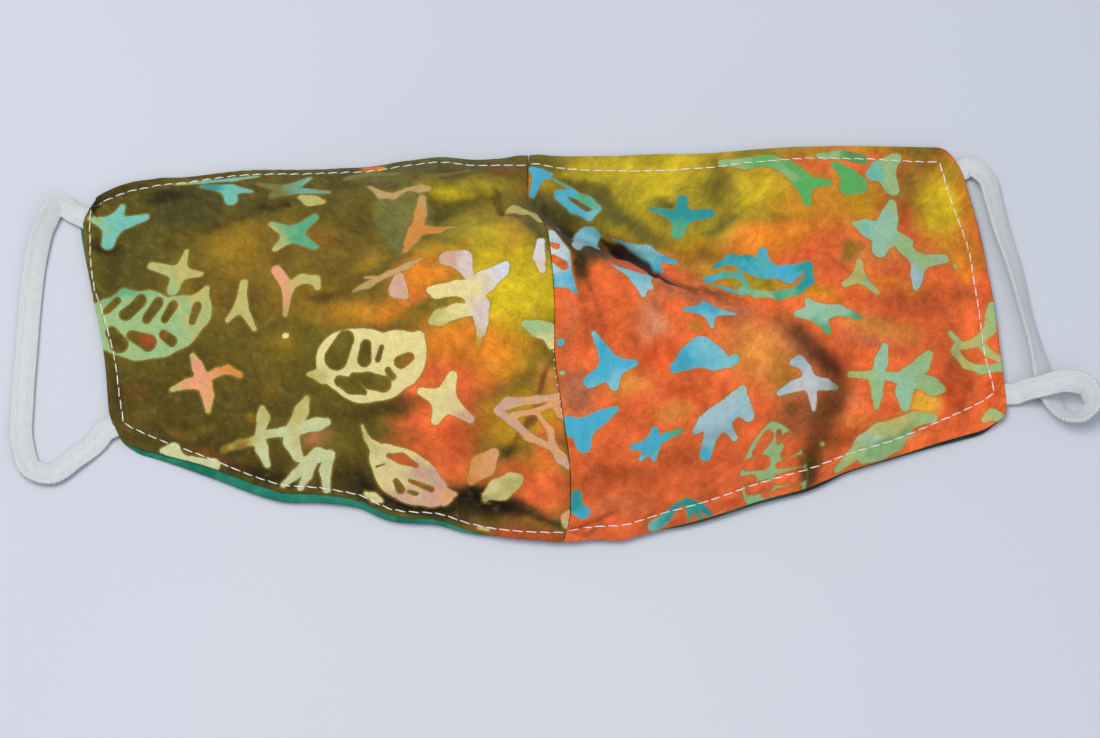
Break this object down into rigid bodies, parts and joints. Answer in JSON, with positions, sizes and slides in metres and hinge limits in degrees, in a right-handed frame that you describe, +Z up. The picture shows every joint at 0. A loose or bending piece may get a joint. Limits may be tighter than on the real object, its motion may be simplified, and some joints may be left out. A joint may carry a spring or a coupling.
{
  "type": "cloth face mask",
  "caption": "Contoured two-layer cloth face mask with a centre seam, domed over an open hollow, with a flat elastic ear loop at each side.",
  "frame": {"origin": "middle of the footprint of the mask and its ear loops, at the height of the surface it lies on", "axes": "+X along the mask's width towards the right ear loop as seen from above, +Y along the centre seam towards the nose edge, +Z up through the outer side"},
  "size_m": [0.2834, 0.1112, 0.0323],
  "materials": {
    "print_left": "matte",
    "print_right": "matte",
    "lining_green": "matte",
    "lining_dark": "matte",
    "elastic": "matte"
  },
  "bodies": {
    "root": {"outer_left": "print_left", "outer_right": "print_right", "lining_left": "lining_green", "lining_right": "lining_dark", "ear_loop_left": "elastic", "ear_loop_right": "elastic"}
  },
  "joints": []
}
